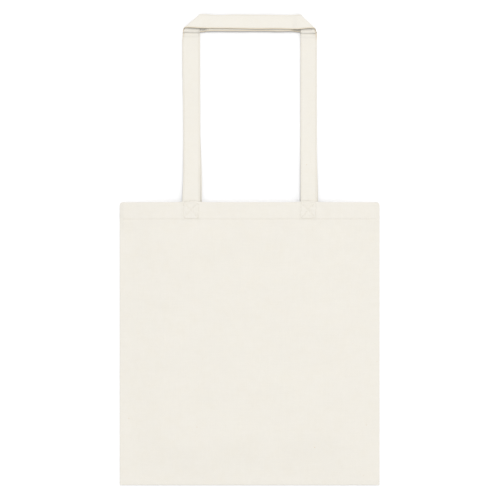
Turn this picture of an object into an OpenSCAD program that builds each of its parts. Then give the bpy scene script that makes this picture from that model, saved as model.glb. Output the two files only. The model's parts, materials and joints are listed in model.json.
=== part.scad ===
// Flat canvas tote bag with two strap handles, lying on its back panel.
// Origin: on the surface that it lies on, at the middle of the whole length and width.
// +X to the right, +Y from the closed bottom towards the handles, +Z up off the surface.

/* [Bag body] */
// Width of the bag, from side seam to side seam
body_w = 380; // [340:5:420]
// Height of the bag, from the bottom seam to the mouth
body_h = 415; // [380:5:450]
// Thickness of one layer of canvas
cloth_t = 0.8; // [0.6:0.1:1]
// Corner radius at both ends of the mouth
mouth_corner_r = 4; // [2:0.5:5]
// Width of the sloping rim round the front panel
rim_w = 50; // [40:5:60]

/* [Hem] */
// Height of the turned-in hem round the mouth
hem_h = 26; // [22:1:30]
// Thickness of the two turned-in hem layers
hem_t = 1.4; // [1.2:0.1:1.6]
// Clear height between the front hem and the back hem
mouth_gap = 6; // [5:0.5:8]

/* [Seams] */
// Width of the seam allowance inside the bag
allowance_w = 9.5; // [8:0.5:12]
// Distance from the bag's edge to the seam stitching
seam_inset = 2; // [1.5:0.5:3]
// Distance between the cross threads of the overlock edging
overlock_pitch = 5; // [4:0.5:8]

/* [Stitches] */
// Length of one stitch
stitch_l = 3; // [2:0.5:3.5]
// Distance from one stitch to the next
stitch_pitch = 5; // [4.5:0.5:7]
// Width of the sewing thread
thread_w = 0.5; // [0.3:0.1:0.6]
// Height of a stitch above the cloth
thread_h = 0.2; // [0.1:0.05:0.2]

/* [Handles] */
// Width of a handle strap
strap_w = 26; // [22:1:30]
// Thickness of a handle strap
strap_t = 1.8; // [1.5:0.1:2]
// Distance between the middles of a handle's two legs
leg_spacing = 171; // [150:1:200]
// Reach of the handles beyond the mouth
handle_reach = 275; // [240:5:300]
// Sideways offset of the back handle from the front one
back_offset = 2; // [0:0.5:3]
// Bend radius of the diagonal folds
fold_r = 1.1; // [1.1:0.1:1.3]
// Bend radius of the front folds at the lower edge of the grip
lifted_fold_r = 4; // [2:0.5:4.5]
// Length of the front strap roots, which bend at both of their ends
root_l = 14.8; // [12:0.2:18]

/* [Hidden] */
canvas = [0.93, 0.90, 0.84];
canvas_inside = [0.90, 0.87, 0.80];
strap_cloth = [0.94, 0.91, 0.85];
thread = [0.87, 0.83, 0.74];

// places along the length
half_w = body_w / 2;
y_top = (body_h + handle_reach) / 2;
y_bottom = -y_top;
y_mouth = y_bottom + body_h;
y_hem = y_mouth - hem_h;
hem_seam_inset = 1.5;

// heights of the layers
gap = 0.3;
back_hem_top = cloth_t + hem_t;
allowance_top = 3 * cloth_t;
front_hem_z = back_hem_top + mouth_gap;
plate_z = front_hem_z + hem_t;
body_rim_z = allowance_top + thread_h + 2 * gap;
hem_rim_z = back_hem_top + 2 * gap + hem_t;
hem_half_w = half_w - mouth_corner_r - 0.5;
edge_inset = 0.5;

// handle places: the front ends lie under the front hem, the back ends on the back hem
leg_x = leg_spacing / 2;
end_l = hem_h - 1;
knuckle = strap_t / 2 + gap;
front_hinge_y = y_mouth + knuckle;
front_hinge_z = front_hem_z - strap_t / 2;
back_hinge_z = back_hem_top + strap_t / 2;
back_hinge_y = front_hinge_y + front_hinge_z - back_hinge_z;
fold_hinge_y = front_hinge_y + root_l;
back_leg_z = strap_t / 2;
front_leg_z = back_leg_z + strap_t + thread_h + gap;
front_fold_z = back_leg_z + 2 * fold_r + strap_t + thread_h + 2 * gap;
drop_start = 4;
drop_l = 22;
step_l = 12;
taper_l = 45;
run_top_y = y_top - (fold_r + strap_t / 2) / sqrt(2);
step_y = run_top_y - strap_w - 2;
fold_steps = 10;
stitch_inset = 2;
box_w = 22;
box_h = 22;
box_pitch = 3.6;

// ---- helpers ----

function ease(t) = let (c = min(1, max(0, t))) c * c * (3 - 2 * c);
function unit(v) = v / norm(v);
function reversed(list) = [for (i = [len(list) - 1:-1:0]) list[i]];

// A closed solid between two grids of points with the same rows and columns.
module grid_solid(lower, upper) {
  rows = len(lower);
  cols = len(lower[0]);
  points = concat([for (row = lower) for (p = row) p], [for (row = upper) for (p = row) p]);
  function b(r, c) = r * cols + c;
  function t(r, c) = (rows + r) * cols + c;
  faces = concat(
    [for (r = [0:rows - 2]) for (c = [0:cols - 2]) [t(r, c), t(r + 1, c), t(r + 1, c + 1)]],
    [for (r = [0:rows - 2]) for (c = [0:cols - 2]) [t(r, c), t(r + 1, c + 1), t(r, c + 1)]],
    [for (r = [0:rows - 2]) for (c = [0:cols - 2]) [b(r, c), b(r, c + 1), b(r + 1, c + 1)]],
    [for (r = [0:rows - 2]) for (c = [0:cols - 2]) [b(r, c), b(r + 1, c + 1), b(r + 1, c)]],
    [for (c = [0:cols - 2]) [b(0, c), t(0, c), t(0, c + 1)]],
    [for (c = [0:cols - 2]) [b(0, c), t(0, c + 1), b(0, c + 1)]],
    [for (c = [0:cols - 2]) [b(rows - 1, c), b(rows - 1, c + 1), t(rows - 1, c + 1)]],
    [for (c = [0:cols - 2]) [b(rows - 1, c), t(rows - 1, c + 1), t(rows - 1, c)]],
    [for (r = [0:rows - 2]) [b(r + 1, 0), t(r + 1, 0), t(r, 0)]],
    [for (r = [0:rows - 2]) [b(r + 1, 0), t(r, 0), b(r, 0)]],
    [for (r = [0:rows - 2]) [b(r, cols - 1), t(r, cols - 1), t(r + 1, cols - 1)]],
    [for (r = [0:rows - 2]) [b(r, cols - 1), t(r + 1, cols - 1), b(r + 1, cols - 1)]]
  );
  polyhedron(points = points, faces = faces, convexity = 6);
}

// One stitch, lying along X on the plane z = 0.
module stitch(length = stitch_l) {
  translate([-length / 2, -thread_w / 2, 0]) cube([length, thread_w, thread_h]);
}

// A row of stitches from one point of a plane to another, at a whole number of pitches.
module stitch_row(from, to, pitch = stitch_pitch, length = stitch_l) {
  run = norm(to - from);
  n = max(1, floor(run / pitch));
  angle = atan2(to[1] - from[1], to[0] - from[0]);
  for (i = [0:n - 1])
    translate([from[0], from[1], 0]) rotate([0, 0, angle])
      translate([(i + 0.5) * run / n, 0, 0]) stitch(length);
}

// A square of stitches with its two diagonals, on the plane z = 0.
module box_stitching(centre, z) {
  x1 = centre[0] - box_w / 2;
  x2 = centre[0] + box_w / 2;
  y1 = centre[1] - box_h / 2;
  y2 = centre[1] + box_h / 2;
  short = box_pitch * 0.65;
  translate([0, 0, z]) {
    stitch_row([x1, y1], [x2, y1], box_pitch, short);
    stitch_row([x2, y1], [x2, y2], box_pitch, short);
    stitch_row([x2, y2], [x1, y2], box_pitch, short);
    stitch_row([x1, y2], [x1, y1], box_pitch, short);
    stitch_row([x1, y1], [x2, y2], box_pitch * 1.05, short);
    stitch_row([x1, y2], [x2, y1], box_pitch * 1.05, short);
  }
}

// ---- back of the bag ----

module panel_outline() {
  r = mouth_corner_r;
  translate([-half_w, y_bottom]) square([body_w, body_h - r]);
  translate([-half_w + r, y_bottom]) square([body_w - 2 * r, body_h]);
  for (side = [-1, 1]) translate([side * (half_w - r), y_mouth - r]) circle(r = r, $fn = 48);
}

module back_panel() {
  color(canvas) linear_extrude(height = cloth_t) panel_outline();
}

module back_hem() {
  color(canvas_inside)
    translate([-hem_half_w, y_hem, cloth_t]) cube([2 * hem_half_w, hem_h - edge_inset, hem_t]);
}

// The row is broken where the two strap ends lie over it.
module back_hem_stitching() {
  y = y_hem + hem_seam_inset;
  inner = leg_x - strap_w / 2 - gap;
  outer = leg_x + strap_w / 2 + gap;
  color(thread) translate([0, 0, back_hem_top]) {
    stitch_row([-hem_half_w, y], [back_offset - outer, y]);
    stitch_row([back_offset - inner, y], [back_offset + inner, y]);
    stitch_row([back_offset + outer, y], [hem_half_w, y]);
  }
}

// side is -1 for the left seam and 1 for the right one
module side_allowance(side) {
  outer = half_w - edge_inset;
  inner = half_w - edge_inset - allowance_w;
  y0 = y_bottom + edge_inset + allowance_w;
  color(canvas_inside) translate([0, 0, cloth_t]) linear_extrude(height = 2 * cloth_t)
    polygon([
      [side * inner, y0], [side * outer, y0],
      [side * outer, y_mouth - mouth_corner_r], [side * hem_half_w, y_mouth - mouth_corner_r],
      [side * hem_half_w, y_hem], [side * inner, y_hem]
    ]);
}

module left_seam_allowance() { side_allowance(-1); }

module right_seam_allowance() { side_allowance(1); }

module bottom_seam_allowance() {
  color(canvas_inside) translate([-half_w + edge_inset, y_bottom + edge_inset, cloth_t])
    cube([body_w - 2 * edge_inset, allowance_w, 2 * cloth_t]);
}

// Thread edging along a raw edge: a bead beside the edge, and cross threads over the allowance.
module overlock(length) {
  bead_w = 1.2;
  reach = 4;
  n = floor(length / overlock_pitch);
  color(thread) translate([0, 0, cloth_t]) {
    cube([length, bead_w, 2 * cloth_t + thread_h]);
    for (i = [0:n - 1])
      translate([(i + 0.5) * length / n - 0.4, -reach, 2 * cloth_t])
        cube([0.8, reach + bead_w / 2, thread_h]);
  }
}

module side_overlock(side) {
  y0 = y_bottom + edge_inset + allowance_w + 2;
  inner = half_w - edge_inset - allowance_w;
  if (side < 0)
    translate([-inner, y_hem, 0]) rotate([0, 0, -90]) overlock(y_hem - y0);
  else
    translate([inner, y0, 0]) rotate([0, 0, 90]) overlock(y_hem - y0);
}

module left_overlock() { side_overlock(-1); }

module right_overlock() { side_overlock(1); }

module bottom_overlock() {
  x = half_w - edge_inset - allowance_w - 2;
  translate([-x, y_bottom + edge_inset + allowance_w, 0]) overlock(2 * x);
}

module side_seam_stitching(side) {
  x = side * (half_w - seam_inset);
  color(thread) translate([0, 0, allowance_top])
    stitch_row([x, y_bottom + allowance_w], [x, y_mouth - mouth_corner_r]);
}

module left_seam_stitching() { side_seam_stitching(-1); }

module right_seam_stitching() { side_seam_stitching(1); }

module bottom_seam_stitching() {
  y = y_bottom + seam_inset;
  color(thread) translate([0, 0, allowance_top])
    stitch_row([-half_w + allowance_w, y], [half_w - allowance_w, y]);
}

// The sewn end of a strap: a flat length of it from inside the hem up to a place near its hinge.
module handle_end(x, z_low, y_end) {
  color(strap_cloth) translate([x - strap_w / 2, y_mouth - end_l, z_low])
    cube([strap_w, end_l + y_end - y_mouth, strap_t]);
}

module back_left_handle_end() {
  handle_end(-leg_x + back_offset, back_hem_top, back_hinge_y - knuckle);
}

module back_right_handle_end() {
  handle_end(leg_x + back_offset, back_hem_top, back_hinge_y - knuckle);
}

module back_box(side) {
  color(thread) box_stitching([side * leg_x + back_offset, y_mouth - end_l / 2], back_hem_top + strap_t);
}

module back_left_box_stitching() { back_box(-1); }

module back_right_box_stitching() { back_box(1); }

// ---- front of the bag ----

// Half the width of the panel at a height along the bag.
function half_w_at(y) =
  let (up = y - (y_mouth - mouth_corner_r))
  up <= 0 ? half_w : half_w - mouth_corner_r + sqrt(max(0, pow(mouth_corner_r, 2) - up * up));

// Height of the underside of the front panel, which rises from its rim to a broad flat middle.
function rim_z(y) = body_rim_z + (hem_rim_z - body_rim_z) * ease((y - y_hem + 24) / 20);
function panel_under(x, y) =
  rim_z(y) + (plate_z - rim_z(y)) * ease((half_w - abs(x)) / rim_w) * ease((y - y_bottom) / rim_w);

rim_columns = 8;
flat_columns = 6;
columns = concat(
  [for (i = [0:rim_columns]) -half_w + rim_w * i / rim_columns],
  [for (i = [1:flat_columns - 1]) -half_w + rim_w + (body_w - 2 * rim_w) * i / flat_columns],
  [for (i = [rim_columns:-1:0]) half_w - rim_w * i / rim_columns]
);
y_plate_end = y_hem - 24;
rows = concat(
  [for (i = [0:rim_columns]) y_bottom + rim_w * i / rim_columns],
  [for (i = [1:flat_columns]) y_bottom + rim_w + (y_plate_end - y_bottom - rim_w) * i / flat_columns],
  [for (i = [1:4]) y_plate_end + 5 * i],
  [for (a = [0:15:90]) y_mouth - mouth_corner_r + mouth_corner_r * sin(a)]
);

function panel_grid(lift) = [
  for (y = rows) [
    for (x = columns)
      let (edge_x = sign(x) * min(abs(x), half_w_at(y)))
      [edge_x, y, panel_under(edge_x, y) + lift]
  ]
];

module front_panel() {
  color(canvas) grid_solid(panel_grid(0), panel_grid(cloth_t));
}

// The front hem follows the underside of the front panel across the whole mouth.
module front_hem() {
  xs = [
    -hem_half_w, for (x = columns) if (abs(x) < hem_half_w) x, hem_half_w
  ];
  outline = concat(
    [for (x = xs) [x, panel_under(x, y_mouth) - hem_t]],
    [for (x = reversed(xs)) [x, panel_under(x, y_mouth)]]
  );
  color(canvas_inside) translate([0, y_mouth - edge_inset, 0]) rotate([90, 0, 0])
    linear_extrude(height = hem_h - edge_inset) polygon(outline);
}

module front_hem_stitching() {
  y = y_hem + hem_seam_inset;
  n = floor(2 * hem_half_w / stitch_pitch);
  reach = 1;
  clear = 0.06;
  color(thread)
    for (i = [0:n - 1])
      let (
        x = -hem_half_w + (i + 0.5) * 2 * hem_half_w / n,
        rise = panel_under(x + reach, y) - panel_under(x - reach, y)
      )
      translate([x, y, panel_under(x, y) + cloth_t + (abs(rise) > 0 ? clear : 0)])
        rotate([0, -atan2(rise, 2 * reach), 0]) stitch();
}

module front_left_handle_end() { handle_end(-leg_x, front_hem_z - strap_t, y_mouth); }

module front_right_handle_end() { handle_end(leg_x, front_hem_z - strap_t, y_mouth); }

module front_box(side) {
  color(thread) box_stitching([side * leg_x, y_mouth - end_l / 2], plate_z + cloth_t);
}

module front_left_box_stitching() { front_box(-1); }

module front_right_box_stitching() { front_box(1); }

// ---- handles ----
// A strap is a band of stations. Each station is a pair of points in the strap's middle
// surface: the outer edge of the leg, which becomes the lower edge of the grip, and the
// inner edge, which becomes the upper edge.

function leg_height(y, hinge, leg_z, fold_z) =
  hinge[1]
  + (leg_z - hinge[1]) * ease((y - hinge[0] - drop_start) / drop_l)
  + (fold_z - leg_z) * ease((y - step_y + step_l) / step_l);

function grip_drop(low_r) = strap_w * cos(asin(2 * (low_r - fold_r) / strap_w));
function low_corner(low_r) =
  [-leg_x - strap_w / 2 + (low_r + strap_t / 2) / sqrt(2), run_top_y - grip_drop(low_r)];
function high_corner() = [-leg_x + strap_w / 2, run_top_y];

function leg_stations(hinge, leg_z, fold_z, low_r) = [
  for (y = concat(
    [hinge[0]],
    [for (i = [0:6]) hinge[0] + drop_start + drop_l * i / 6],
    [for (i = [0:3]) step_y - taper_l + (taper_l - step_l) * i / 4],
    [for (i = [0:5]) step_y - step_l + step_l * i / 5]
  ))
    let (
      z = leg_height(y, hinge, leg_z, fold_z),
      pull = (low_r + strap_t / 2) / sqrt(2) * ease((y - step_y + taper_l) / taper_l)
    )
    [[-leg_x - strap_w / 2 + pull, y, z], [-leg_x + strap_w / 2, y, z]]
];

function fold_stations(fold_z, low_r) =
  let (
    low = low_corner(low_r),
    high = high_corner(),
    along = unit(high - low),
    out = [-along[1], along[0]]
  )
  [
    for (i = [0:fold_steps])
      let (a = 180 * i / fold_steps)
      [
        for (corner = [[low, low_r], [high, fold_r]])
          let (p = corner[0] + out * corner[1] * sin(a))
          [p[0], p[1], fold_z + corner[1] * (1 - cos(a))]
      ]
  ];

function grip_stations(fold_z, low_r) = [
  for (x = [-leg_x + strap_w, -leg_x / 2])
    [
      [x, run_top_y - grip_drop(low_r), fold_z + 2 * low_r],
      [x, run_top_y, fold_z + 2 * fold_r]
    ]
];

function mirrored(stations) = [for (s = reversed(stations)) [for (p = s) [-p[0], p[1], p[2]]]];

function station_normal(band, i, c) =
  let (
    last = len(band) - 1,
    across = band[i][1] - band[i][0],
    along = band[min(last, i + 1)][c] - band[max(0, i - 1)][c]
  )
  unit(cross(across, along));

function band_grid(band, lift) = [
  for (i = [0:len(band) - 1])
    [for (c = [0, 1]) band[i][c] + station_normal(band, i, c) * lift]
];

module band_solid(band) {
  grid_solid(band_grid(band, -strap_t / 2), band_grid(band, strap_t / 2));
}

module handle_strap(hinge, leg_z, fold_z, low_r) {
  half = concat(
    leg_stations(hinge, leg_z, fold_z, low_r),
    fold_stations(fold_z, low_r),
    grip_stations(fold_z, low_r)
  );
  color(strap_cloth) band_solid(concat(half, mirrored(half)));
}

// Stitches along both edges of the legs and of the grip, on the faces that show.
module handle_stitching(hinge, leg_z, fold_z, low_r) {
  y1 = hinge[0] + drop_start + drop_l + 2;
  y2 = step_y - taper_l - 2;
  edge = strap_w / 2 - stitch_inset;
  tilt = asin(2 * (low_r - fold_r) / strap_w);
  grip_half = leg_x - strap_w;
  color(thread) {
    for (side = [-1, 1]) for (e = [-edge, edge])
      translate([0, 0, leg_z + strap_t / 2])
        stitch_row([side * leg_x + e, y1], [side * leg_x + e, y2]);
    translate([0, run_top_y - grip_drop(low_r), fold_z + 2 * low_r]) rotate([-tilt, 0, 0])
      translate([0, 0, strap_t / 2]) for (y = [stitch_inset, strap_w - stitch_inset])
        stitch_row([-grip_half, y], [grip_half, y]);
  }
}

module back_handle_strap() {
  translate([back_offset, 0, 0])
    handle_strap([back_hinge_y, back_hinge_z], back_leg_z, back_leg_z, fold_r);
}

module back_handle_stitching() {
  translate([back_offset, 0, 0])
    handle_stitching([back_hinge_y, back_hinge_z], back_leg_z, back_leg_z, fold_r);
}

// The first stretch of a front leg, from the mouth to the place where the handle folds over.
module strap_root(side) {
  color(strap_cloth)
    translate([side * leg_x - strap_w / 2, front_hinge_y, front_hinge_z - strap_t / 2])
      cube([strap_w, root_l - knuckle, strap_t]);
}

module front_left_strap_root() { strap_root(-1); }

module front_right_strap_root() { strap_root(1); }

module front_handle_strap() {
  handle_strap([fold_hinge_y, front_hinge_z], front_leg_z, front_fold_z, lifted_fold_r);
}

module front_handle_stitching() {
  handle_stitching([fold_hinge_y, front_hinge_z], front_leg_z, front_fold_z, lifted_fold_r);
}

back_panel();
back_hem();
back_hem_stitching();
left_seam_allowance();
right_seam_allowance();
bottom_seam_allowance();
left_overlock();
right_overlock();
bottom_overlock();
left_seam_stitching();
right_seam_stitching();
bottom_seam_stitching();
back_left_handle_end();
back_right_handle_end();
back_left_box_stitching();
back_right_box_stitching();
front_panel();
front_hem();
front_hem_stitching();
front_left_handle_end();
front_right_handle_end();
front_left_box_stitching();
front_right_box_stitching();
back_handle_strap();
back_handle_stitching();
front_left_strap_root();
front_right_strap_root();
front_handle_strap();
front_handle_stitching();
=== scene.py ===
"""Looks of a flat canvas tote bag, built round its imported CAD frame. Lengths are in metres."""

import json
import math

import bpy
import numpy as np
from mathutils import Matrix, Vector


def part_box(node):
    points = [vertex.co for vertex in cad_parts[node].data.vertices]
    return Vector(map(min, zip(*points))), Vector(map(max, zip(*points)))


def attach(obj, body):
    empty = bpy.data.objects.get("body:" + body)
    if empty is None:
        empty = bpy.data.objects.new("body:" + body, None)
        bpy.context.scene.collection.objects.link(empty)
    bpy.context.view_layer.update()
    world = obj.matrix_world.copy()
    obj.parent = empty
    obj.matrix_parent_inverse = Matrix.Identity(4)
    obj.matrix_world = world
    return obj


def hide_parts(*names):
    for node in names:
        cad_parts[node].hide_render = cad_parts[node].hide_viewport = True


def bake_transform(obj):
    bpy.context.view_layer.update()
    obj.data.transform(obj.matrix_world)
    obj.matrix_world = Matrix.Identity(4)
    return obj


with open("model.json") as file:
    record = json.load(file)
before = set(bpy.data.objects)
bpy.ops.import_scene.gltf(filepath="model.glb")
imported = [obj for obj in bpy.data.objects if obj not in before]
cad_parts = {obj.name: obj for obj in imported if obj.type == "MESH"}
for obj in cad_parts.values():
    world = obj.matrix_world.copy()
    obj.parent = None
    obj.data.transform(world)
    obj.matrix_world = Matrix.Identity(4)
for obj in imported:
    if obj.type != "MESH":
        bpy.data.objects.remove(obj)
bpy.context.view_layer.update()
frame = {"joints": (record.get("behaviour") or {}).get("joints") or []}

MM = 0.001

# ---- places, from the frame ----
panel_low, panel_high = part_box("back_panel")
hem_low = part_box("front_hem")[0]
front_end_low, front_end_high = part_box("front_right_handle_end")
back_end_low, back_end_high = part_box("back_right_handle_end")

SEAM_ROLL = 1.2 * MM  # how far the sewn bottom edge rolls in from its nominal place
HALF_W = panel_high.x
Y_BOTTOM = panel_low.y + SEAM_ROLL
Y_MOUTH = panel_high.y
Y_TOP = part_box("front_handle_strap")[1].y
Y_HEM = hem_low.y
HEM_STITCH_Y = Y_HEM + 1.5 * MM
STRAP_W = front_end_high.x - front_end_low.x
LEG_X = (front_end_high.x + front_end_low.x) / 2
END_Y = front_end_low.y
FRONT_END_Z = (front_end_low.z + front_end_high.z) / 2
BACK_END_Z = (back_end_low.z + back_end_high.z) / 2
BOX_Y = (END_Y + Y_MOUTH) / 2
BOX_HALF = 11 * MM
JOINTS = {j["name"]: j for j in frame["joints"]}
FRONT_HINGE_Y = JOINTS["front_strap_swing"]["pos_m"][1]
FOLD_HINGE_Y = JOINTS["front_handle_fold"]["pos_m"][1]
BACK_HINGE_Y = JOINTS["back_handle_swing"]["pos_m"][1]

CLOTH = 0.6 * MM
CORNER_R = 4 * MM
STRAP_T = 1.6 * MM
THREAD_R = 0.28 * MM
STITCH_PITCH = 3.0 * MM
BOX_PITCH = 2.5 * MM
SIDES = (("left", -1), ("right", 1))


# ---- small numeric helpers ----
def ease(t):
    t = np.clip(t, 0, 1)
    return t * t * (3 - 2 * t)


def ripples(x, y, wavelength, seed, count=11):
    """A smooth random field of about unit height, the same at every run."""
    rng = np.random.default_rng(seed)
    total = 0
    for _ in range(count):
        angle = rng.uniform(0, math.tau)
        k = math.tau / (wavelength * rng.uniform(0.65, 1.5))
        total = total + np.cos(k * (x * math.cos(angle) + y * math.sin(angle)) + rng.uniform(0, math.tau))
    return total / math.sqrt(count / 2)


def bell(d, width):
    return np.exp(-((d / width) ** 2))


def unit(v):
    return v / np.maximum(np.linalg.norm(v, axis=-1, keepdims=True), 1e-12)


def grid_normals(points):
    """Unit normals of a grid of points, along +Z where columns run along +X and rows along +Y."""
    return unit(np.cross(np.gradient(points, axis=1), np.gradient(points, axis=0)))


def spread(*stretches):
    """Places along a line, from (start, end, step) stretches that follow each other."""
    out = []
    for start, end, step in stretches:
        n = max(1, round(abs(end - start) / step))
        out += list(np.linspace(start, end, n, endpoint=False))
    return np.array(out + [stretches[-1][1]])


# ---- meshes ----
def new_object(name, verts, faces, uvs, normals=None):
    mesh = bpy.data.meshes.new(name)
    mesh.from_pydata(verts.tolist(), [], faces.tolist())
    mesh.shade_smooth()
    layer = mesh.uv_layers.new(name="Cloth")
    corner = np.zeros(len(mesh.loops), np.int32)
    mesh.loops.foreach_get("vertex_index", corner)
    layer.data.foreach_set("uv", uvs[corner].astype(np.float32).ravel())
    mesh.validate()
    mesh.update()
    if normals is not None:
        mesh.normals_split_custom_set_from_vertices(normals.tolist())
    obj = bpy.data.objects.new(name, mesh)
    bpy.context.scene.collection.objects.link(obj)
    return obj


def shell(name, middle, half_thick, uv, normals=None):
    """A closed sheet round a grid of middle points, half_thick to each side."""
    rows, cols = middle.shape[:2]
    n = grid_normals(middle) if normals is None else normals
    thick = np.broadcast_to(np.asarray(half_thick), (rows, cols))[..., None]
    verts = np.concatenate([(middle + n * thick).reshape(-1, 3), (middle - n * thick).reshape(-1, 3)])
    index = np.arange(rows * cols).reshape(rows, cols)
    low = index + rows * cols

    def quads(a, b, c, d):
        return np.stack([a.ravel(), b.ravel(), c.ravel(), d.ravel()], axis=1)

    faces = np.concatenate([
        quads(index[:-1, :-1], index[:-1, 1:], index[1:, 1:], index[1:, :-1]),
        quads(low[:-1, :-1], low[1:, :-1], low[1:, 1:], low[:-1, 1:]),
        quads(index[0, 1:], index[0, :-1], low[0, :-1], low[0, 1:]),
        quads(index[-1, :-1], index[-1, 1:], low[-1, 1:], low[-1, :-1]),
        quads(index[:-1, 0], index[1:, 0], low[1:, 0], low[:-1, 0]),
        quads(index[1:, -1], index[:-1, -1], low[:-1, -1], low[1:, -1]),
    ])
    flat_uv = np.concatenate([uv.reshape(-1, 2), uv.reshape(-1, 2)])
    vertex_normals = np.concatenate([n.reshape(-1, 3), -n.reshape(-1, 3)])
    return new_object(name, verts, faces, flat_uv, vertex_normals)


def resample(path, normals, pitch):
    """(centres, tangents, normals) of stitches at that pitch along a path of points."""
    step = np.linalg.norm(np.diff(path, axis=0), axis=1)
    along = np.concatenate([[0], np.cumsum(step)])
    count = max(1, round(along[-1] / pitch))
    at = (np.arange(count) + 0.5) * along[-1] / count

    def pick(values, places):
        return np.stack([np.interp(places, along, values[:, k]) for k in range(3)], axis=1)

    centre = pick(path, at)
    reach = pitch * 0.35
    tangent = unit(pick(path, at + reach) - pick(path, at - reach))
    normal = unit(pick(normals, at))
    return centre, tangent, unit(normal - (normal * tangent).sum(1, keepdims=True) * tangent)


def stitches(name, paths, pitch=STITCH_PITCH, radius=THREAD_R, share=0.8):
    """One mesh of thread stitches along the paths, each a (points, normals) pair on the cloth's face."""
    # each ring of a stitch: its place along the stitch, its size, and its lift in thread radii
    ring_end, ring_side, ring_top = (0.5, 0.35, -1.1), (0.36, 0.85, -0.1), (0.0, 1.0, 0.25)
    back = [(-along, size, lift) for along, size, lift in (ring_end, ring_side)]
    rings = [*back, ring_top, ring_side, ring_end]
    sides = 6
    verts, faces, uvs = [], [], []
    for path, normals in paths:
        centre, tangent, normal = resample(path, normals, pitch)
        side = np.cross(normal, tangent)
        length = pitch * share
        base = len(verts)
        for c, t, n, s in zip(centre, tangent, normal, side):
            for along, size, lift in rings:
                for k in range(sides):
                    a = math.tau * k / sides
                    verts.append(
                        c + t * along * length + n * radius * (lift + size * 0.8 * math.sin(a))
                        + s * radius * size * 1.15 * math.cos(a)
                    )
                    uvs.append((along * length, k * radius))
        for i in range(len(centre)):
            first = base + i * len(rings) * sides
            for r in range(len(rings) - 1):
                for k in range(sides):
                    a = first + r * sides + k
                    b = first + r * sides + (k + 1) % sides
                    faces.append((a, b, b + sides, a + sides))
    return new_object(name, np.array(verts), np.array(faces), np.array(uvs))


# ---- materials ----
class Nodes:
    """Short calls for a material's node tree."""

    def __init__(self, name):
        self.material = bpy.data.materials.new(name)
        self.material.use_nodes = True
        self.tree = self.material.node_tree
        self.tree.nodes.clear()

    def add(self, kind, inputs=None, **settings):
        made = self.tree.nodes.new(kind)
        for key, value in settings.items():
            setattr(made, key, value)
        for key, value in (inputs or {}).items():
            if isinstance(value, bpy.types.NodeSocket):
                self.tree.links.new(value, made.inputs[key])
            else:
                made.inputs[key].default_value = value
        return made

    def math(self, operation, a, b=0.0, c=0.0):
        return self.add("ShaderNodeMath", {0: a, 1: b, 2: c}, operation=operation).outputs[0]

    def scaled(self, vector, factors):
        return self.add("ShaderNodeVectorMath", {0: vector, 1: factors}, operation="MULTIPLY").outputs[0]

    def noise(self, vector, scale, detail=2.0, roughness=0.5):
        made = self.add("ShaderNodeTexNoise", {"Vector": vector, "Scale": scale, "Detail": detail})
        made.inputs["Roughness"].default_value = roughness
        return made.outputs["Fac"]

    def range(self, value, low, high, to_low=0.0, to_high=1.0, smooth=True):
        kind = "SMOOTHSTEP" if smooth else "LINEAR"
        inputs = {"Value": value, "From Min": low, "From Max": high, "To Min": to_low, "To Max": to_high}
        return self.add("ShaderNodeMapRange", inputs, interpolation_type=kind).outputs["Result"]

    def mix(self, factor, a, b, blend="MIX"):
        made = self.add("ShaderNodeMix", data_type="RGBA", blend_type=blend)
        for key, value in ((0, factor), (6, a), (7, b)):
            if isinstance(value, bpy.types.NodeSocket):
                self.tree.links.new(value, made.inputs[key])
            else:
                made.inputs[key].default_value = value
        return made.outputs[2]


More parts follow.
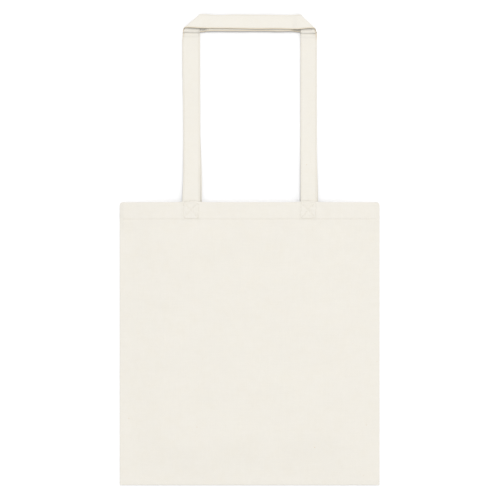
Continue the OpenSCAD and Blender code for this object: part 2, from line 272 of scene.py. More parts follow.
def canvas(name, tint, thread_pitch=0.62 * MM, on_uv=False, slub=1.0):
    """Plain-woven natural cotton: over-and-under threads, slubs, seed flecks and faint clouding."""
    n = Nodes(name)
    if on_uv:
        place = n.add("ShaderNodeUVMap", uv_map="Cloth").outputs["UV"]
    else:
        place = n.add("ShaderNodeTexCoord").outputs["Object"]
    wander = n.add("ShaderNodeTexNoise", {"Vector": place, "Scale": 260.0, "Detail": 2.0}).outputs["Color"]
    wander = n.scaled(
        n.add("ShaderNodeVectorMath", {0: wander, 1: (0.5, 0.5, 0.5)}, operation="SUBTRACT").outputs[0],
        (0.5 * MM, 0.5 * MM, 0.0),
    )
    woven = n.add("ShaderNodeVectorMath", {0: place, 1: wander}, operation="ADD").outputs[0]
    split = n.add("ShaderNodeSeparateXYZ", {0: woven})
    turn = math.pi / thread_pitch
    across = n.math("SINE", n.math("MULTIPLY", split.outputs["X"], turn))
    along = n.math("SINE", n.math("MULTIPLY", split.outputs["Y"], turn))
    weave = n.math("MULTIPLY", across, along)
    gaps = n.math("MINIMUM", n.math("ABSOLUTE", across), n.math("ABSOLUTE", along))

    warp = n.noise(n.scaled(place, (1150.0, 42.0, 42.0)), 1.0, 3.0, 0.6)
    weft = n.noise(n.scaled(place, (36.0, 1050.0, 36.0)), 1.0, 3.0, 0.6)
    slubs = n.math("ADD", n.range(warp, 0.54, 0.78), n.range(weft, 0.55, 0.8))
    streaks = n.math("SUBTRACT", n.math("ADD", warp, weft), 1.0)
    cloud = n.noise(place, 13.0, 4.0, 0.55)
    fibre = n.noise(place, 2600.0, 2.0, 0.6)

    mottle = n.noise(place, 150.0, 3.0, 0.6)
    shade = n.math("MULTIPLY_ADD", n.math("SUBTRACT", cloud, 0.5), 0.03, 1.0)
    shade = n.math("MULTIPLY_ADD", n.math("SUBTRACT", mottle, 0.5), 0.035, shade)
    shade = n.math("MULTIPLY_ADD", streaks, 0.045 * slub, shade)
    # painted shade: the gaps between the threads are a little darker
    shade = n.math("MULTIPLY_ADD", n.math("SUBTRACT", gaps, 0.4), 0.07, shade)
    shade = n.math("MULTIPLY_ADD", n.math("SUBTRACT", fibre, 0.5), 0.03, shade)
    grey = n.add("ShaderNodeCombineColor", {0: shade, 1: shade, 2: shade}).outputs[0]
    colour = n.mix(1.0, (*tint, 1.0), grey, "MULTIPLY")
    warm = n.range(n.noise(place, 70.0, 3.0, 0.6), 0.35, 0.8, 0.0, 0.16)
    colour = n.mix(warm, colour, (tint[0] * 0.97, tint[1] * 0.93, tint[2] * 0.84, 1.0))
    for scale, size, strength, seed_colour in (
        (52.0, 0.042, 0.75, (0.52, 0.32, 0.13, 1.0)),
        (118.0, 0.065, 0.42, (0.60, 0.43, 0.22, 1.0)),
    ):
        cells = n.add("ShaderNodeTexVoronoi", {"Vector": place, "Scale": scale})
        chance = n.add("ShaderNodeSeparateColor", {0: cells.outputs["Color"]})
        spot = n.range(cells.outputs["Distance"], size, size * 0.35)
        chosen = n.range(chance.outputs[0], 0.45, 0.95)
        colour = n.mix(n.math("MULTIPLY", n.math("MULTIPLY", spot, chosen), strength), colour, seed_colour)

    if on_uv:
        # on a strap, U runs across it and V along it from the middle of the grip
        parts = n.add("ShaderNodeSeparateXYZ", {0: place})
        from_middle = n.math("ABSOLUTE", n.math("SUBTRACT", parts.outputs["X"], STRAP_W / 2))
        from_edge = n.math("SUBTRACT", STRAP_W / 2, from_middle)
        # painted shade: a brown tint along the strap's rounded edges, where they meet the cloth below
        edge_and_gap_shade = n.range(from_edge, 0.2 * MM, 1.0 * MM, 0.16, 0.0)
        # painted shade: brown along the grip's low edge, fading out past the folds, where the straps lie in
        # each other's shadow
        grip_gap_shade = n.range(n.math("ABSOLUTE", parts.outputs["Y"]), 90 * MM, 128 * MM, 0.75, 0.0)
        low_edge_band = n.range(parts.outputs["X"], 0.5 * MM, 1.5 * MM, 1.0, 0.0)
        edge_and_gap_shade = n.math("MAXIMUM", edge_and_gap_shade, n.math("MULTIPLY", grip_gap_shade, low_edge_band))
        # the colour of the painted shade
        colour = n.mix(edge_and_gap_shade, colour, (tint[0] * 0.94, tint[1] * 0.80, tint[2] * 0.58, 1.0))

    height = n.math("MULTIPLY_ADD", weave, 0.5, n.math("MULTIPLY", slubs, 0.7))
    height = n.math("MULTIPLY_ADD", fibre, 0.35, height)
    bump = n.add("ShaderNodeBump", {"Strength": 0.55, "Distance": 0.09 * MM, "Height": height})
    rough = n.range(fibre, 0.25, 0.75, 0.82, 0.98, smooth=False)
    shader = n.add(
        "ShaderNodeBsdfPrincipled", {"Base Color": colour, "Roughness": rough, "Normal": bump.outputs[0]}
    )
    shader.inputs["Specular IOR Level"].default_value = 0.18
    shader.inputs["Sheen Weight"].default_value = 0.12
    shader.inputs["Sheen Roughness"].default_value = 0.6
    n.add("ShaderNodeOutputMaterial", {"Surface": shader.outputs[0]})
    return n.material


def thread_material(name, tint):
    """Twisted cotton sewing thread."""
    n = Nodes(name)
    place = n.add("ShaderNodeUVMap", uv_map="Cloth").outputs["UV"]
    split = n.add("ShaderNodeSeparateXYZ", {0: place})
    slant = n.math("MULTIPLY_ADD", split.outputs["Y"], 1.6, split.outputs["X"])
    twist = n.math("ABSOLUTE", n.math("SINE", n.math("MULTIPLY", slant, math.pi / (0.5 * MM))))
    world = n.add("ShaderNodeTexCoord").outputs["Object"]
    vary = n.noise(world, 120.0, 3.0)
    # painted shade: the grooves between the twisted plies are a little darker
    shade = n.math("ADD", n.math("MULTIPLY_ADD", twist, 0.18, 0.82), n.math("MULTIPLY", vary, 0.08))
    # painted shade: each stitch darkens towards its ends, where it sinks into the cloth
    sunk_end_shade = n.range(n.math("ABSOLUTE", split.outputs["X"]), 0.6 * MM, 1.15 * MM, 1.0, 0.42)
    shade = n.math("MULTIPLY", shade, sunk_end_shade)
    grey = n.add("ShaderNodeCombineColor", {0: shade, 1: shade, 2: shade}).outputs[0]
    colour = n.mix(1.0, (*tint, 1.0), grey, "MULTIPLY")
    bump = n.add("ShaderNodeBump", {"Strength": 0.7, "Distance": 0.06 * MM, "Height": twist})
    shader = n.add(
        "ShaderNodeBsdfPrincipled", {"Base Color": colour, "Roughness": 0.75, "Normal": bump.outputs[0]}
    )
    shader.inputs["Sheen Weight"].default_value = 0.1
    n.add("ShaderNodeOutputMaterial", {"Surface": shader.outputs[0]})
    return n.material


CREAM = (0.646, 0.622, 0.569)
panel_canvas = canvas("panel_canvas", CREAM)
inside_canvas = canvas("inside_canvas", tuple(c * 0.97 for c in CREAM))
strap_canvas = canvas(
    "strap_canvas", tuple(c * 1.01 for c in CREAM), thread_pitch=0.55 * MM, on_uv=True, slub=0.8
)
thread = thread_material("sewing_thread", (0.66, 0.62, 0.54))


def finish_piece(obj, material, replaced=()):
    obj.data.materials.append(material)
    if replaced:
        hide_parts(*replaced)
    return obj


# ---- the two panels, each with its turned-in hem ----
EDGE_R = 0.6 * MM
FLAT_EDGE = CLOTH / 2 + EDGE_R
ARC = np.radians(np.linspace(0, 150, 8))[1:]
TURN = np.radians(np.linspace(0, 180, 9))[1:]


def half_width(y):
    """Half the panel's width, which rounds in at the mouth."""
    up = np.clip(y - (Y_MOUTH - CORNER_R), 0, CORNER_R)
    return HALF_W - CORNER_R + np.sqrt(np.maximum(CORNER_R**2 - up**2, 0))


def box_sway(x, y, seed):
    """How far hand-guided box stitching strays from its line."""
    return 0.45 * MM * ripples(x, y, 14 * MM, seed)


def box_lines(x, y):
    """Distance from the nearest line of box stitching, and how far inside its box a point is, 0 to 1."""
    x, y = x - box_sway(x, y, 31), y - box_sway(x, y, 32)
    dx = np.abs(np.abs(x) - LEG_X)
    dy = np.abs(y - BOX_Y)
    inside = ease((BOX_HALF + 1.5 * MM - np.maximum(dx, dy)) / (2 * MM))
    frame_line = np.abs(np.maximum(dx, dy) - BOX_HALF)
    cross = np.where(np.maximum(dx, dy) < BOX_HALF, np.abs(dx - dy) / math.sqrt(2), 1.0)
    return np.minimum(frame_line, cross), inside


def sewn_relief(x, y, seed):
    """What the sewing does to a panel's height: puckers, the hem's groove and step, quilted boxes."""
    side = HALF_W - np.abs(x)
    bottom = y - Y_BOTTOM
    patchy = np.clip(0.7 + 0.35 * ripples(x, 0, 90 * MM, seed + 1), 0.15, 1.2)
    z = 0.30 * MM * patchy * ease((y - Y_HEM + 6 * MM) / (7 * MM))
    z = z - 0.30 * MM * patchy * bell(y - HEM_STITCH_Y, 1.0 * MM)
    near_hem = bell(y - HEM_STITCH_Y, 7 * MM) * (0.6 + 0.4 * patchy)
    z = z + 0.12 * MM * near_hem * ripples(x, y * 0.25, 12 * MM, seed + 2)
    z = z + 0.10 * MM * bell(side - 4 * MM, 6 * MM) * ripples(x * 0.2, y, 11 * MM, seed + 3)
    z = z + 0.10 * MM * bell(bottom - 4 * MM, 6 * MM) * ripples(x, y * 0.2, 11 * MM, seed + 4)
    dx = np.abs(np.abs(x) - LEG_X)
    over_end = ease((STRAP_W / 2 + 1.6 * MM - dx) / (3.0 * MM)) * ease((y - END_Y + 2 * MM) / (3 * MM))
    z = z + 0.55 * MM * over_end
    line, inside = box_lines(x, y)
    pulled = 0.65 + 0.35 * ripples(x, y, 5.5 * MM, seed + 7, 15)
    z = z - 0.36 * MM * pulled * bell(line, 1.0 * MM)
    z = z + inside * (0.18 * MM + 0.15 * MM * ripples(x, y, 4.6 * MM, seed + 5, 19))
    around = bell(np.maximum(dx, np.abs(y - BOX_Y)) - BOX_HALF, 9 * MM)
    z = z + 0.16 * MM * around * ripples(x, y * 0.6, 15 * MM, seed + 6)
    return z


def stretch_mouth(points):
    """Over each strap end the sewn layers push the mouth's edge up a little."""
    points = points.copy()
    over_strap = bell(np.abs(points[..., 0]) - LEG_X, 13 * MM)
    points[..., 1] += 2.4 * MM * over_strap * ease((points[..., 1] - Y_HEM - 3 * MM) / (22 * MM))
    return points


def front_height(x, y):
    """Middle of the front panel's outer layer."""
    side = HALF_W - np.abs(x)
    bottom = y - Y_BOTTOM
    up = ease((y - Y_HEM + 22 * MM) / (20 * MM))
    edge = 2.75 * MM + 0.35 * MM * up
    rim = 3.1 * MM + 1.5 * MM * up
    middle = 8.2 * MM + 1.35 * MM * ease((y - Y_HEM + 130 * MM) / (130 * MM))
    from_seams = ease((side - FLAT_EDGE) / (6 * MM)) * ease((bottom - FLAT_EDGE) / (6 * MM))
    rise = ease((side - 3 * MM) / (66 * MM)) * ease((bottom - 3 * MM) / (74 * MM))
    z = edge + (rim - edge) * from_seams + (middle - rim) * rise
    open_cloth = ease(side / (30 * MM)) * ease(bottom / (30 * MM))
    waves = 0.30 * MM * ripples(x, y, 95 * MM, 41) + 0.10 * MM * ripples(x, y, 38 * MM, 42)
    z = z + open_cloth * waves
    z = z + sewn_relief(x, y, 60) * ease(side / (4 * MM)) * ease(bottom / (4 * MM))
    # a short slanting crease in the lower right corner
    from_crease = (x - HALF_W) * 0.89 - bottom * 0.45 + 3.3 * MM
    near_corner = ease((10 * MM - bottom) / (4 * MM)) * ease((8 * MM - side) / (4 * MM))
    return z - 0.7 * MM * bell(from_crease, 0.8 * MM) * near_corner * (x > 0)


def back_height(x, y):
    """Middle of the back panel's outer layer, whose underside lies on the floor."""
    side = HALF_W - np.abs(x)
    bottom = y - Y_BOTTOM
    z = CLOTH / 2 + 0.5 * MM * ease((y - Y_HEM + 6 * MM) / (6 * MM))
    ripple = 0.5 + 0.5 * np.tanh(ripples(x, y, 80 * MM, 51))
    z = z + 0.22 * MM * ripple * ease(side / (25 * MM)) * ease(bottom / (25 * MM))
    below_hem = ease(side / (4 * MM)) * ease(bottom / (4 * MM)) * ease((Y_HEM - 3 * MM - y) / (4 * MM))
    return z - 0.55 * sewn_relief(x, y, 80) * below_hem


def panel_grid(height, facing, columns, rows):
    """Middle points of a panel's cloth: outer face, roll over the mouth, hem, and its turned-under edge.

    facing is 1 where the outer face looks up and -1 where it looks down."""
    flat_x = HALF_W - FLAT_EDGE
    arc_x = flat_x + EDGE_R * np.sin(ARC)
    xs = np.concatenate([-arc_x[::-1], columns, arc_x])
    dip_x = np.concatenate([EDGE_R * (1 - np.cos(ARC))[::-1], 0 * columns, EDGE_R * (1 - np.cos(ARC))])
    flat_y = Y_BOTTOM + FLAT_EDGE
    ys = np.concatenate([(flat_y - EDGE_R * np.sin(ARC))[::-1], rows])
    dip_y = np.concatenate([EDGE_R * (1 - np.cos(ARC))[::-1], 0 * rows])
    flat_length = np.concatenate([-(EDGE_R * ARC)[::-1], rows - flat_y])

    def place(y, lift, dip):
        """One row of points at y, moved by lift along facing."""
        width = half_width(y)
        keep = HALF_W - 10 * MM
        narrow = keep + (np.abs(xs) - keep) * (width - keep) / (HALF_W - keep)
        x = np.where(np.abs(xs) > keep, np.sign(xs) * narrow, xs)
        at_x, at_y = np.clip(x, -flat_x, flat_x), np.maximum(y, flat_y)
        z = height(at_x, at_y + 0 * at_x) + lift - facing * np.maximum(dip_x, dip)
        return np.stack([x, y + 0 * x, z], axis=1)

    side = HALF_W - np.abs(xs)
    roll_r = 0.32 * MM + 0.43 * MM * ease((side - 1 * MM) / (5 * MM))
    under_r = 0.32 * MM
    grid = [place(y, 0, d) for y, d in zip(ys, dip_y)]
    length = list(flat_length)

    crest = Y_MOUTH - CLOTH / 2
    for turn in TURN:
        row = place(crest, 0, 0)
        row[:, 1] = crest - roll_r + roll_r * np.sin(turn)
        row[:, 2] -= facing * roll_r * (1 - np.cos(turn))
        grid.append(row)
        length.append(flat_length[-1] + 0.75 * MM * turn)
    inner_ys = np.linspace(crest - 2 * MM, Y_HEM + CLOTH, 24)
    for y in inner_ys:
        row = place(y, 0, 0)
        row[:, 2] -= facing * 2 * roll_r
        grid.append(row)
        length.append(length[-1] + 1 * MM)
    for turn in TURN[1::2]:
        row = place(Y_HEM + CLOTH, 0, 0)
        row[:, 1] -= under_r * np.sin(turn)
        row[:, 2] -= facing * (2 * roll_r - under_r * (1 - np.cos(turn)))
        grid.append(row)
        length.append(length[-1] + 0.3 * MM)
    for y in np.linspace(Y_HEM + 2 * MM, Y_HEM + 7 * MM, 3):
        row = place(y, 0, 0)
        row[:, 2] -= facing * (2 * roll_r - 2 * under_r)
        grid.append(row)
        length.append(length[-1] + 2 * MM)
    grid = np.array(grid)
    lengths = np.array(length)[:, None] + 0 * xs[None, :]
    return grid, np.stack([np.broadcast_to(xs, lengths.shape), lengths], axis=2)


def mirrored_columns(*stretches):
    right = spread(*stretches)
    return np.concatenate([-right[:0:-1], right])


def panel_columns(open_step, box_step, side_step, side_band):
    """Columns of a panel: finer over the sewn strap ends and along the side seams."""
    box_in, box_out = LEG_X - 17.5 * MM, LEG_X + 18.5 * MM
    side_start, side_end = HALF_W - side_band, HALF_W - FLAT_EDGE
    return mirrored_columns(
        (0, box_in, open_step), (box_in, box_out, box_step),
        (box_out, side_start, open_step), (side_start, side_end, side_step),
    )


def panel_rows(seam_step, open_step, hem_step):
    """Rows of a panel: finer along the bottom seam and over the hem."""
    seam_end, hem_start = Y_BOTTOM + 12 * MM, Y_HEM - 10 * MM
    return spread(
        (Y_BOTTOM + FLAT_EDGE, seam_end, seam_step), (seam_end, hem_start, open_step),
        (hem_start, Y_MOUTH - 2 * MM, hem_step),
    )


front_columns = panel_columns(2.0 * MM, 0.9 * MM, 0.9 * MM, side_band=6 * MM)
front_rows = panel_rows(1.0 * MM, 2.4 * MM, 0.9 * MM)
back_columns = panel_columns(4.0 * MM, 1.5 * MM, 1.2 * MM, side_band=10 * MM)
back_rows = panel_rows(1.5 * MM, 4.0 * MM, 1.2 * MM)

front_grid, front_uv = panel_grid(front_height, 1, front_columns, front_rows)
front_grid = stretch_mouth(front_grid)
front_normals = grid_normals(front_grid)
centre_column = len(front_grid[0]) // 2


def blend_half(obj):
    """Bakes the half's placement into its mesh."""
    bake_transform(obj)


half_columns = {"left": slice(0, centre_column + 1), "right": slice(centre_column, None)}
for word, side in SIDES:
    part = half_columns[word]
    obj = shell(
        f"front_panel_{word}", front_grid[:, part], CLOTH / 2, front_uv[:, part], front_normals[:, part]
    )
    finish_piece(obj, panel_canvas, ["front_panel", "front_hem"])
    blend_half(obj)

back_grid, back_uv = panel_grid(back_height, -1, back_columns, back_rows)
back_panel = shell("back_panel_cloth", back_grid, CLOTH / 2, back_uv)
finish_piece(back_panel, panel_canvas, ["back_panel", "back_hem"])
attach(back_panel, "back")


# ---- stitching through the panels ----
def surface_path(height, facing, lift, xs, ys):
    """(points, normals) along a line on a panel's face."""
    step = 0.4 * MM
    xs, ys = np.broadcast_arrays(np.asarray(xs, float), np.asarray(ys, float))
    z = height(xs, ys) + facing * lift
    gx = (height(xs + step, ys) - height(xs - step, ys)) / (2 * step)
    gy = (height(xs, ys + step) - height(xs, ys - step)) / (2 * step)
    normals = unit(np.stack([-gx, -gy, np.ones_like(gx)], axis=1)) * facing
    points = np.stack([xs, ys, z], axis=1)
    return (stretch_mouth(points) if facing > 0 else points), normals


def box_paths(height, facing, lift, centre_x):
    """The lines of one box of stitching with its cross."""

    def line(x1, y1, x2, y2):
        t = np.linspace(0.02, 0.98, 40)
        x, y = centre_x + x1 + (x2 - x1) * t, BOX_Y + y1 + (y2 - y1) * t
        return surface_path(height, facing, lift, x + box_sway(x, y, 31), y + box_sway(x, y, 32))

    b = BOX_HALF
    sides = [(-b, -b, b, -b), (b, -b, b, b), (b, b, -b, b), (-b, b, -b, -b)]
    return [line(*s) for s in sides + [(-b, -b, b, b), (-b, b, b, -b)]]


face = CLOTH / 2 + 0.05 * MM
hem_line = np.linspace(1 * MM, HALF_W - 5 * MM, 400)
for word, side in SIDES:
    hem_path = surface_path(front_height, 1, face, side * hem_line, HEM_STITCH_Y)
    obj = stitches(f"front_hem_stitching_{word}", [hem_path])
    finish_piece(obj, thread, ["front_hem_stitching"])
    blend_half(obj)
    for body, height, facing in (("front", front_height, 1), ("back", back_height, -1)):
        paths = box_paths(height, facing, face, side * LEG_X)
        obj = stitches(f"{body}_{word}_box_stitching_thread", paths, BOX_PITCH)
        finish_piece(obj, thread, [f"{body}_{word}_box_stitching"])
        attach(obj, body)
full_line = np.linspace(-HALF_W + 5 * MM, HALF_W - 5 * MM, 800)
obj = stitches("back_hem_stitching_thread", [surface_path(back_height, -1, face, full_line, HEM_STITCH_Y)])
finish_piece(obj, thread, ["back_hem_stitching"])
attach(obj, "back")


# ---- seam allowances inside, with overlocked raw edges ----
ALLOWANCE_DEPTH = 9.3 * MM
ALLOWANCE_Z = 1.5 * MM
SEAM_IN = 1.4 * MM  # where the allowances start, in from the bag's edge
SEW_IN = 2.2 * MM  # where the seam is sewn
SEW_Z = 2.1 * MM


def allowance(name, start, end, inward, replaced, seed):
    """Two layers of canvas along a seam from start to end, reaching inward, with a raw edge."""
    start, end, inward = (np.array(v, float) for v in (start, end, inward))
    length = np.linalg.norm(end - start)
    along = (end - start) / length
    s = spread((0, length, 4 * MM))
    depth = np.linspace(0, ALLOWANCE_DEPTH, 7)
    place = start + along * s[:, None, None] + inward * depth[None, :, None]
    wave = 0.12 * MM * ripples(s, 0, 25 * MM, seed)[:, None] * (depth / depth[-1])[None, :]
    place[..., 2] = ALLOWANCE_Z + wave
    if np.cross(inward, along)[2] < 0:
        place = place[:, ::-1]
    obj = shell(name, place, 0.55 * MM, place[..., :2])
    finish_piece(obj, inside_canvas, replaced)
    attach(obj, "back")
    return obj, (start + inward * depth[-1], along, inward, length)


def overlock(name, edge, replaced):
    """Thread looped round a raw edge: a zigzag over each face, locked by a chain along the edge."""
    corner, along, inward, length = edge
    pitch, bite = 2.6 * MM, 4.2 * MM
    turns = int(length / pitch)
    t = np.linspace(0, turns, turns * 12 + 1)
    angle = t * math.tau
    reach = bite / 2 * (np.cos(angle) - 1) + 0.4 * MM
    points = corner + along * (t * pitch)[:, None] + inward * reach[:, None]
    points[:, 2] = ALLOWANCE_Z + 0.85 * MM * np.sin(angle)
    chain_t = np.linspace(0, turns, turns * 8 + 1)
    chain = corner + along * (chain_t * pitch)[:, None] + inward * 0.7 * MM
    chain[:, 2] = ALLOWANCE_Z + 0.35 * MM * np.sin(chain_t * math.tau)
    obj = tubes(name, [points, chain], 0.16 * MM)
    finish_piece(obj, thread, replaced)
    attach(obj, "back")
    return obj


def tubes(name, lines, radius, sides=5):
    """One mesh of round threads that follow lines of points."""
    verts, faces, uvs = [], [], []
    for line in lines:
        tangent = unit(np.gradient(line, axis=0))
        up = np.array([0.0, 0.0, 1.0])
        side = unit(np.cross(tangent, up) + np.array([1e-6, 0, 0]))
        other = np.cross(side, tangent)
        along = np.concatenate([[0], np.cumsum(np.linalg.norm(np.diff(line, axis=0), axis=1))])
        base = len(verts)
        for i, p in enumerate(line):
            for k in range(sides):
                a = math.tau * k / sides
                verts.append(p + radius * (side[i] * math.cos(a) + other[i] * math.sin(a)))
                uvs.append((along[i], k * radius))
        for i in range(len(line) - 1):
            for k in range(sides):
                a, b = base + i * sides + k, base + i * sides + (k + 1) % sides
                faces.append((a, b, b + sides, a + sides))
    return new_object(name, np.array(verts), np.array(faces), np.array(uvs))


low_corner = Y_BOTTOM + SEAM_IN
seams = []
for word, side in SIDES:
    x = side * (HALF_W - SEAM_IN)
    seams.append((word, (x, Y_BOTTOM + 11 * MM, 0), (x, Y_HEM - 0.5 * MM, 0), (-side, 0, 0)))
seams.append(("bottom", (SEAM_IN - HALF_W, low_corner, 0), (HALF_W - SEAM_IN, low_corner, 0), (0, 1, 0)))
for seed, (word, start, end, inward) in enumerate(seams, 25):
    obj, edge = allowance(
        f"{word}_seam_allowance_cloth", start, end, inward, [f"{word}_seam_allowance"], seed
    )
    overlock(f"{word}_overlock_thread", edge, [f"{word}_overlock"])

for word, a, b in (
    ("left", (SEW_IN - HALF_W, Y_BOTTOM + 8 * MM), (SEW_IN - HALF_W, Y_HEM - 2 * MM)),
    ("right", (HALF_W - SEW_IN, Y_BOTTOM + 8 * MM), (HALF_W - SEW_IN, Y_HEM - 2 * MM)),
    ("bottom", (8 * MM - HALF_W, Y_BOTTOM + SEW_IN), (HALF_W - 8 * MM, Y_BOTTOM + SEW_IN)),
):
    line = np.linspace((*a, SEW_Z), (*b, SEW_Z), 500)
    obj = stitches(f"{word}_seam_stitching_thread", [(line, np.broadcast_to((0.0, 0.0, 1.0), line.shape))])
    finish_piece(obj, thread, [f"{word}_seam_stitching"])
    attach(obj, "back")


# ---- straps ----
# Stations across a strap in mm, closest at its rounded edge and its line of stitching, then mirrored.
ACROSS = np.array([0, 0.1, 0.35, 0.8, 1.3, 1.7, 2.0, 2.3, 2.8, 4.0, 5.5, 7.0, 8.5, 10, 11.5, 13])
ACROSS = np.concatenate([ACROSS, 26 - ACROSS[-2::-1]]) / 26
STITCH_LINES = [6, len(ACROSS) - 7]
EDGE_DISTANCE = np.minimum(ACROSS, 1 - ACROSS) * STRAP_W
ROUND_EDGE = np.sqrt(np.maximum((STRAP_T / 2) ** 2 - (STRAP_T / 2 - EDGE_DISTANCE) ** 2, (0.03 * MM) ** 2))
STRAP_PROFILE = np.where(EDGE_DISTANCE < STRAP_T / 2, ROUND_EDGE, STRAP_T / 2)
STRAP_PROFILE = STRAP_PROFILE - 0.13 * MM * bell(EDGE_DISTANCE - 2 * MM, 0.55 * MM)

FAN_STATIONS, FOLD_STATIONS = 44, 70
BEND_STATIONS = FOLD_STATIONS * 0.7


def edge_fold(x0, y_run, z0, r, angle):
    """One edge of a strap that turns from leg to grip by wrapping round a slanting fold of radius r."""
    y0 = y_run - math.pi * r / math.sqrt(2)
    return np.stack([
        x0 + r * (angle - np.sin(angle)) / math.sqrt(2),
        y0 + r * (angle + np.sin(angle)) / math.sqrt(2),
        z0 + r * (1 - np.cos(angle)),
    ], axis=-1)


def half_strap(leg_ys, leg_z, low_y, high_y, low_r, high_r, outer_drift, inner_drift):
    """Stations of a strap from its sewn end to the end of its fold, for the left side.

    Each is (outer edge, inner edge). leg_z and the drifts are functions of y: the height of the leg's
    middle, and how far its edges stray sideways."""
    outer_x, inner_x = -LEG_X - STRAP_W / 2, -LEG_X + STRAP_W / 2
    outer_y, inner_y = (y - math.pi * r / math.sqrt(2) for y, r in ((low_y, low_r), (high_y, high_r)))

    def level(a, b):
        return (outer_x + outer_drift(a), a, leg_z(a)), (inner_x + inner_drift(b), b, leg_z(b))

    stations = [level(y, y) for y in leg_ys]
    start = leg_ys[-1]
    for t in np.linspace(0, 1, FAN_STATIONS)[1:-1]:
        stations.append(level(start + (outer_y - start) * t, start + (inner_y - start) * t))
    for angle in np.linspace(0, math.pi, FOLD_STATIONS):
        low = edge_fold(outer_x, low_y, leg_z(start), low_r, angle)
        high = edge_fold(inner_x, high_y, leg_z(start), high_r, angle)
        low[0] += outer_drift(low[1])
        high[0] += inner_drift(high[1])
        stations.append((low, high))
    return np.array(stations, float)


def whole_strap(left, right, low_wave, high_wave, sag):
    """Middle grid of a strap: the left half, the grip, and the right half turned round.

    The waves move the grip's low and high edges by x, and sag bows the grip between them."""
    flip = right[::-1] * np.array([-1, 1, 1])
    run = []
    a_low, a_high = left[-1]
    b_low, b_high = flip[0]
    for t in spread((0, 0.09, 0.012), (0.09, 0.91, 0.014), (0.91, 1, 0.012))[1:-1]:
        blend_in = ease(min(t, 1 - t) / 0.12)
        x = a_low[0] + (b_low[0] - a_low[0]) * t
        x_high = a_high[0] + (b_high[0] - a_high[0]) * t
        low = a_low + (b_low - a_low) * ease(t)
        high = a_high + (b_high - a_high) * ease(t)
        low[0], high[0] = x, x_high
        low, high = low + low_wave(x) * blend_in, high + high_wave(x_high) * blend_in
        run.append((low, high))
    edges = np.concatenate([left, np.array(run), flip])
    bend = np.ones(len(edges))
    bend[:len(left)] = ease((np.arange(len(left)) - len(left)) / BEND_STATIONS + 1)
    bend[-len(left):] = bend[:len(left)][::-1]
    v = ACROSS[None, :, None]
    grid = edges[:, None, 0] * (1 - v) + edges[:, None, 1] * v
    bow = (1 - ACROSS) * (1 - (1 - ACROSS) ** 2) * ACROSS**0.15
    return grid + grid_normals(grid) * (sag * bend[:, None] * bow / bow.max())[..., None]


PAST_GRIP = 360 * MM  # how far the sewn ends lie from the middle of the grip, along the strap


def strap_mesh(name, grid, past_grip=0.0):
    """A strap's piece and length. Its UVs run across it, and along it from the middle of the grip."""
    middle = len(ACROSS) // 2
    along = np.concatenate([[0], np.cumsum(np.linalg.norm(np.diff(grid[:, middle], axis=0), axis=1))])
    from_grip = along - along[-1] / 2 + past_grip
    uv = np.stack(np.broadcast_arrays((ACROSS * STRAP_W)[None, :], from_grip[:, None]), axis=2)
    return shell(name, grid, STRAP_PROFILE, uv), along[-1]


def edge_stitching(name, grid):
    """Stitches along both edges of a strap, on both faces."""
    n = grid_normals(grid)
    paths = []
    for column in STITCH_LINES:
        for face_side in (1, -1):
            offset = STRAP_PROFILE[column] + 0.02 * MM
            outward = n[:, column] * face_side
            paths.append((grid[:, column] + outward * offset, outward))
    return stitches(name, paths)


def leg_profile(hinge_y, hinge_z, low_z):
    """Height of a leg's middle: level out of the mouth, then down onto what it lies on."""
    def height(y):
        return hinge_z + (low_z - hinge_z) * ease((y - hinge_y - 3 * MM) / (90 * MM))
    return height


FRONT_LEG_Z = 2.7 * MM
BACK_LEG_Z = STRAP_T / 2
# what the straps' shapes are measured from: frame places to a hundredth of a millimetre
TOP_LINE, MOUTH_LINE, LEG_LINE = (round(place, 5) for place in (Y_TOP, Y_MOUTH, LEG_X))
LEG_STOP = TOP_LINE - 44.97 * MM  # where the legs' own stations end and the turn to the grip begins

# front handle
front_leg = leg_profile(FOLD_HINGE_Y, FRONT_END_Z, FRONT_LEG_Z)
STEP_H = 3.2 * MM
STEP_Y = TOP_LINE - 27.07 * MM
STEP_LEFT = 0.58  # share of the step that is left under the fold


def step_over(grid):
    """Where the front strap climbs over the back strap's grip, it dips and steps up sharply."""
    grid = grid.copy()
    x, y = grid[..., 0], grid[..., 1]
    past = y - STEP_Y + 0.6 * MM * np.sign(x)
    over_leg = ease((abs(x) - LEG_LINE + 25.5 * MM) / (12 * MM))
    settled = STEP_LEFT + (1 - STEP_LEFT) * ease((TOP_LINE - 10.97 * MM - y) / (8 * MM) + 0.6)
    grid[..., 2] += STEP_H * over_leg * settled * ease((past + 0.5 * MM) / (1.1 * MM))
    grid[..., 2] += 1.1 * MM * bell(past + 4.2 * MM, 2.0 * MM) - 0.3 * MM * bell(past + 1.1 * MM, 0.8 * MM)
    on_leg = ease((y - FOLD_HINGE_Y) / (30 * MM)) * ease((LEG_STOP - 2 * MM - y) / (20 * MM))
    grid[..., 2] += 0.12 * MM * ripples(x, y, 45 * MM, 90) * on_leg
    return grid


def below(y, height, stretch):
    """0 above a height over the mouth, rising to 1 over the stretch below it."""
    return ease((MOUTH_LINE + height - y) / stretch)


def at_fold(y):
    """The outer edge draws in as it nears the fold."""
    return 1.2 * MM * ease((y - TOP_LINE + 40.97 * MM) / (14 * MM))


def left_outer(y):
    return 1.5 * MM * below(y, 220 * MM, 120 * MM) - 1.3 * MM * below(y, 38 * MM, 36 * MM) + at_fold(y)


def left_inner(y):
    return 0.5 * MM * below(y, 230 * MM, 120 * MM) - 0.4 * MM


def right_outer(y):
    return 0.3 * MM + at_fold(y)


def right_inner(y):
    return -1.8 * MM + 0 * y


def leg_stations(hinge_end):
    """Stations up a leg: finest from the mouth to past the hinge."""
    return spread((END_Y, Y_MOUTH, 2 * MM), (Y_MOUTH, hinge_end, 1 * MM), (hinge_end, LEG_STOP, 3 * MM))


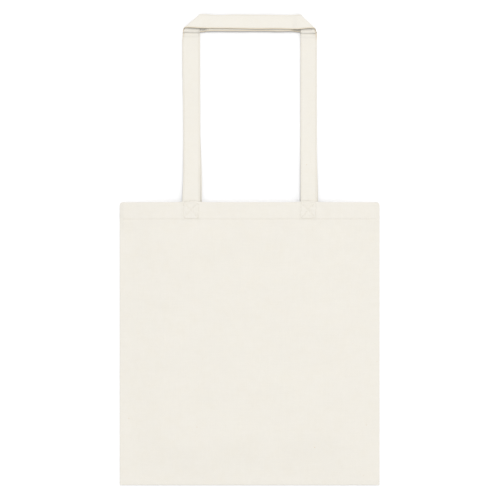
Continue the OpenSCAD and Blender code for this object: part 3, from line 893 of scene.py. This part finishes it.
leg_ys = leg_stations(FOLD_HINGE_Y + 50 * MM)
LOW_R, HIGH_R = 3.1 * MM, 1.3 * MM
front_left = half_strap(
    leg_ys, front_leg, TOP_LINE - 20.17 * MM, Y_TOP, LOW_R, HIGH_R, left_outer, left_inner
)
front_right = half_strap(
    leg_ys, front_leg, TOP_LINE - 21.17 * MM, Y_TOP - 0.8 * MM, LOW_R, HIGH_R, right_outer, right_inner
)


def front_low_wave(x):
    bow = 0.2 * MM * ripples(x, 0, 60 * MM, 91) - 1.0 * MM
    return np.array([0, bow, -0.4 * MM + 0.3 * MM * ripples(x, 0, 70 * MM, 92)])


def front_high_wave(x):
    dips = -0.2 * MM - 1.0 * MM * bell(x + 44 * MM, 13 * MM) - 0.25 * MM * ease(x / (60 * MM))
    return np.array([0, dips, 0.2 * MM * ripples(x, 0, 50 * MM, 94)])


front_strap_grid = step_over(
    whole_strap(front_left, front_right, front_low_wave, front_high_wave, -0.2 * MM)
)
SPLIT_Y = (FRONT_HINGE_Y + FOLD_HINGE_Y) / 2
split = int(np.argmin(np.abs(leg_ys - SPLIT_Y)))
last = len(front_strap_grid) - 1
swinging = front_strap_grid[split:last - split + 1]


def blend_at(obj):
    """Bakes the piece's placement into its mesh."""
    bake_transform(obj)


front_strap, front_length = strap_mesh("front_handle_cloth", swinging)
finish_piece(front_strap, strap_canvas, ["front_handle_strap"])
front_thread = edge_stitching("front_handle_edge_stitching", swinging)
finish_piece(front_thread, thread, ["front_handle_stitching"])
for obj in (front_strap, front_thread):
    blend_at(obj)
for word, part in (("left", slice(0, split + 1)), ("right", slice(last - split, None))):
    end, end_length = strap_mesh(f"front_{word}_strap_end", front_strap_grid[part], PAST_GRIP)
    finish_piece(end, strap_canvas, [f"front_{word}_handle_end", f"front_{word}_strap_root"])
    end_thread = edge_stitching(f"front_{word}_strap_end_stitching", front_strap_grid[part])
    finish_piece(end_thread, thread)
    for obj in (end, end_thread):
        blend_at(obj)

# back handle
BACK_END_RISE = BACK_END_Z + 0.3 * MM


def back_leg(y):
    """The back strap stays close under the front one."""
    under = BACK_LEG_Z + 0.05 * MM + (front_leg(y) - FRONT_LEG_Z) * 0.95
    return BACK_END_RISE + (under - BACK_END_RISE) * ease((y - BACK_HINGE_Y - 2 * MM) / (22 * MM))


def back_left_outer(y):
    """The left back strap shows a little to the right of the front one near the mouth only."""
    return left_outer(y) + 0.3 * MM + 2.9 * MM * below(y, 50 * MM, 40 * MM)


def back_left_inner(y):
    return 2.9 * MM * below(y, 120 * MM, 95 * MM) - 0.3 * MM


def back_right_outer(y):
    return -1.9 * MM * below(y, 80 * MM, 85 * MM) + 0.3 * MM


def back_right_inner(y):
    return -2.2 * MM - 1.0 * MM * below(y, 100 * MM, 100 * MM)


BACK_LOW_R, BACK_HIGH_R = 0.95 * MM, 0.9 * MM
back_ys = leg_stations(BACK_HINGE_Y + 34 * MM)
back_left, back_right = (
    half_strap(back_ys, back_leg, TOP_LINE - 25.97 * MM, Y_TOP, BACK_LOW_R, BACK_HIGH_R, outer, inner)
    for outer, inner in ((back_left_outer, back_left_inner), (back_right_outer, back_right_inner))
)


def back_low_wave(x):
    lift = ease((LEG_X - STRAP_W / 2 - 1 * MM - abs(x)) / (11 * MM))
    return np.array([0, 1.3 * MM * lift + 0.15 * MM * ripples(x, 0, 40 * MM, 96), 3.1 * MM * lift])


def back_high_wave(x):
    return np.array([0, -2.0 * MM, 0])


back_strap_grid = whole_strap(back_left, back_right, back_low_wave, back_high_wave, 0.3 * MM)
back_strap, back_length = strap_mesh("back_handle_cloth", back_strap_grid)
finish_piece(
    back_strap, strap_canvas,
    ["back_handle_strap", "back_left_handle_end", "back_right_handle_end"],
)
back_thread = edge_stitching("back_handle_edge_stitching", back_strap_grid)
finish_piece(back_thread, thread, ["back_handle_stitching"])
for obj in (back_strap, back_thread):
    blend_at(obj)

# ---- floor, light and camera ----
FLOOR_REACH = 25.0
floor_mesh = bpy.data.meshes.new("floor")
floor_corners = [(x * FLOOR_REACH, y * FLOOR_REACH, 0) for x, y in ((-1, -1), (1, -1), (1, 1), (-1, 1))]
floor_mesh.from_pydata(floor_corners, [], [(0, 1, 2, 3)])
floor = bpy.data.objects.new("floor", floor_mesh)
bpy.context.scene.collection.objects.link(floor)
floor.location.z = -0.3 * MM
white = Nodes("floor_white")
paper = white.add("ShaderNodeBsdfDiffuse", {"Color": (0.81, 0.81, 0.815, 1.0)})
white.add("ShaderNodeOutputMaterial", {"Surface": paper.outputs[0]})
floor_mesh.materials.append(white.material)

scene = bpy.context.scene
scene.view_settings.view_transform = "Standard"
world = bpy.data.worlds.new("studio")
scene.world = world
world.use_nodes = True
world.node_tree.nodes["Background"].inputs["Color"].default_value = (1.0, 1.0, 1.0, 1.0)
world.node_tree.nodes["Background"].inputs["Strength"].default_value = 0.77


def soft_light(name, place, target, size, power):
    """A square panel light at place, turned towards target."""
    data = bpy.data.lights.new(name, "AREA")
    data.shape = "SQUARE"
    data.size = size
    data.energy = power
    lamp = bpy.data.objects.new(name, data)
    lamp.location = place
    lamp.rotation_mode = "QUATERNION"
    lamp.rotation_quaternion = (Vector(target) - Vector(place)).to_track_quat("-Z", "Y")
    scene.collection.objects.link(lamp)


soft_light("key", (0.6, 2.1, 4.7), (0, 0.05, 0), 1.7, 72)
soft_light("fill", (0.1, -1.9, 4.4), (0, 0.3, 0), 1.6, 15)
overhead = bpy.data.lights.new("overhead", "SUN")
overhead.energy = 0.98
overhead.angle = math.radians(12)
lamp = bpy.data.objects.new("overhead", overhead)
lamp.rotation_euler = (math.radians(-10), math.radians(4), 0)
scene.collection.objects.link(lamp)

camera_data = bpy.data.cameras.new("camera")
camera_data.lens = 135
camera_data.sensor_width = 36
camera = bpy.data.objects.new("camera", camera_data)
VIEW_WIDTH = 730.8 * MM  # what the view spans, at the height of the bag
VIEW_Z = 6 * MM
distance = VIEW_WIDTH * camera_data.lens / camera_data.sensor_width
camera.location = (0.5 * MM, 0.2 * MM, distance + VIEW_Z)
camera.rotation_euler = (0, 0, 0)
scene.collection.objects.link(camera)
scene.camera = camera
